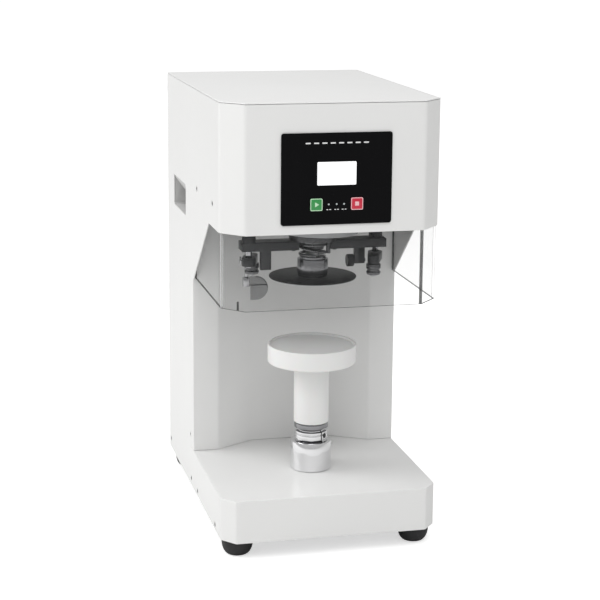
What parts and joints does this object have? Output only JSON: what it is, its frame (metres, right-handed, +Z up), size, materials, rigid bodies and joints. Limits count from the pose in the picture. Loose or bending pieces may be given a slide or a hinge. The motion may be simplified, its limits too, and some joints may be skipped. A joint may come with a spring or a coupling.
{
  "type": "cup sealing machine",
  "caption": "Bench-top can seamer: sheet-metal body, clear guard, roller head, sprung chuck and screw-raised tray.",
  "frame": {"origin": "on the standing surface, under the middle of the machine's box", "axes": "+Z up, +Y to the rear, +X to the machine's right as seen from the front"},
  "size_m": [0.27, 0.4096, 0.554],
  "materials": {
    "white_paint": "fine powder coat, satin",
    "steel": "turned and brushed",
    "dark_steel": "blackened, lightly oiled",
    "chrome": "polished",
    "black_plastic": "semi-gloss",
    "rubber": "moulded",
    "nylon": "turned nylon",
    "clear_acrylic": "clear, polished edges",
    "green_plastic": "semi-gloss",
    "red_plastic": "semi-gloss",
    "screen": "smooth",
    "board": "solder mask"
  },
  "bodies": {
    "frame": {"base_cover": "white_paint", "base_plate": "steel", "bearing_housing": "dark_steel", "clear_guard": "clear_acrylic", "column_cover": "white_paint", "column_frame": "steel", "control_board": "board", "control_panel": "black_plastic", "display_window": "screen", "drive_belt": "rubber", "drive_motor": "dark_steel", "foot_front_left": "rubber", "foot_front_right": "rubber", "foot_rear_left": "rubber", "foot_rear_right": "rubber", "handle_cup_left": "white_paint", "handle_cup_right": "white_paint", "head_front_cover": "white_paint", "head_plate": "steel", "lift_belt": "rubber", "lift_motor": "dark_steel", "lift_sleeve": "chrome", "lower_bearing": "steel", "upper_bearing": "steel", "mains_inlet": "black_plastic", "rear_panel": "white_paint", "side_panel_left": "white_paint", "side_panel_right": "white_paint", "spindle_bridge": "steel", "stop_plate": "clear_acrylic", "stop_rod": "chrome", "top_cover": "white_paint"},
    "turret": {"turret_tube": "dark_steel", "turret_pulley": "steel", "stop_pin": "chrome", "turret_beam_left": "dark_steel", "turret_beam_right": "dark_steel", "adjusting_screw": "chrome"},
    "feed_cam": {"feed_cam": "steel"},
    "arm_left": {"seaming_arm_left": "dark_steel", "rocker_shaft_left": "steel"},
    "arm_right": {"seaming_arm_right": "dark_steel", "rocker_shaft_right": "steel"},
    "roller_left": {"seaming_roller_left": "dark_steel"},
    "roller_right": {"seaming_roller_right": "dark_steel"},
    "chuck": {"chuck_rod": "steel", "chuck_hub": "steel", "chuck_disc": "black_plastic", "chuck_nut": "steel", "chuck_spring": "dark_steel"},
    "lift": {"lift_rod": "steel", "clamp_collar": "chrome", "nylon_post": "nylon", "tray": "nylon"},
    "lift_screw": {"lift_screw": "steel"},
    "lift_motor_rotor": {"lift_motor_pulley": "steel"},
    "motor_rotor": {"motor_pulley": "steel"},
    "start_button": {"start_button": "green_plastic"},
    "stop_button": {"stop_button": "red_plastic"},
    "power_switch": {"power_switch": "black_plastic"}
  },
  "joints": [
    {"name": "turret_spin", "type": "hinge", "parent": "frame", "child": "turret", "pos_m": [0, -0.09, 0.381], "axis": [0, 0, 1], "continuous": true},
    {"name": "feed_cam_turn", "type": "hinge", "parent": "turret", "child": "feed_cam", "pos_m": [0, -0.09, 0.381], "axis": [0, 0, 1], "range_deg": [0, 90]},
    {"name": "arm_right_swing", "type": "hinge", "parent": "turret", "child": "arm_right", "pos_m": [0.0825, -0.084, 0.352], "axis": [0, 0, -1], "range_deg": [0, 22]},
    {"name": "arm_left_swing", "type": "hinge", "parent": "turret", "child": "arm_left", "pos_m": [-0.0825, -0.096, 0.352], "axis": [0, 0, -1], "range_deg": [0, 22]},
    {"name": "roller_right_spin", "type": "hinge", "parent": "arm_right", "child": "roller_right", "pos_m": [0.074, -0.107, 0.3405], "axis": [0, 0, 1], "continuous": true},
    {"name": "roller_left_spin", "type": "hinge", "parent": "arm_left", "child": "roller_left", "pos_m": [-0.074, -0.073, 0.3405], "axis": [0, 0, 1], "continuous": true},
    {"name": "chuck_slide", "type": "slide", "parent": "frame", "child": "chuck", "axis": [0, 0, 1], "range_m": [0, 0.006], "stiffness_N_per_m": 4000, "springref_m": -0.004, "deforming": ["chuck_spring"]},
    {"name": "lift_slide", "type": "slide", "parent": "frame", "child": "lift", "axis": [0, 0, 1], "range_m": [0, 0.025]},
    {"name": "lift_screw_turn", "type": "hinge", "parent": "frame", "child": "lift_screw", "pos_m": [0, -0.09, 0.031], "axis": [0, 0, -1], "range_deg": [0, 900]},
    {"name": "lift_motor_turn", "type": "hinge", "parent": "frame", "child": "lift_motor_rotor", "pos_m": [0, 0.095, 0.031], "axis": [0, 0, -1], "range_deg": [0, 1350]},
    {"name": "motor_spin", "type": "hinge", "parent": "frame", "child": "motor_rotor", "pos_m": [0, 0.115, 0.452], "axis": [0, 0, 1], "continuous": true},
    {"name": "start_button_push", "type": "slide", "parent": "frame", "child": "start_button", "axis": [0, 1, 0], "range_m": [0, 0.0008], "stiffness_N_per_m": 400, "springref_m": -0.001},
    {"name": "stop_button_push", "type": "slide", "parent": "frame", "child": "stop_button", "axis": [0, 1, 0], "range_m": [0, 0.0008], "stiffness_N_per_m": 400, "springref_m": -0.001},
    {"name": "power_switch_rock", "type": "hinge", "parent": "frame", "child": "power_switch", "pos_m": [0.065, 0.199, 0.0993], "axis": [1, 0, 0], "range_deg": [0, 12]}
  ],
  "couplings": [
    {"joint": "arm_right_swing", "follows": "feed_cam_turn", "ratio": 0.24444},
    {"joint": "arm_left_swing", "follows": "feed_cam_turn", "ratio": 0.24444},
    {"joint": "motor_spin", "follows": "turret_spin", "ratio": 3},
    {"joint": "lift_screw_turn", "follows": "lift_slide", "rad_per_m": 628.32},
    {"joint": "lift_motor_turn", "follows": "lift_slide", "rad_per_m": 942.48}
  ]
}
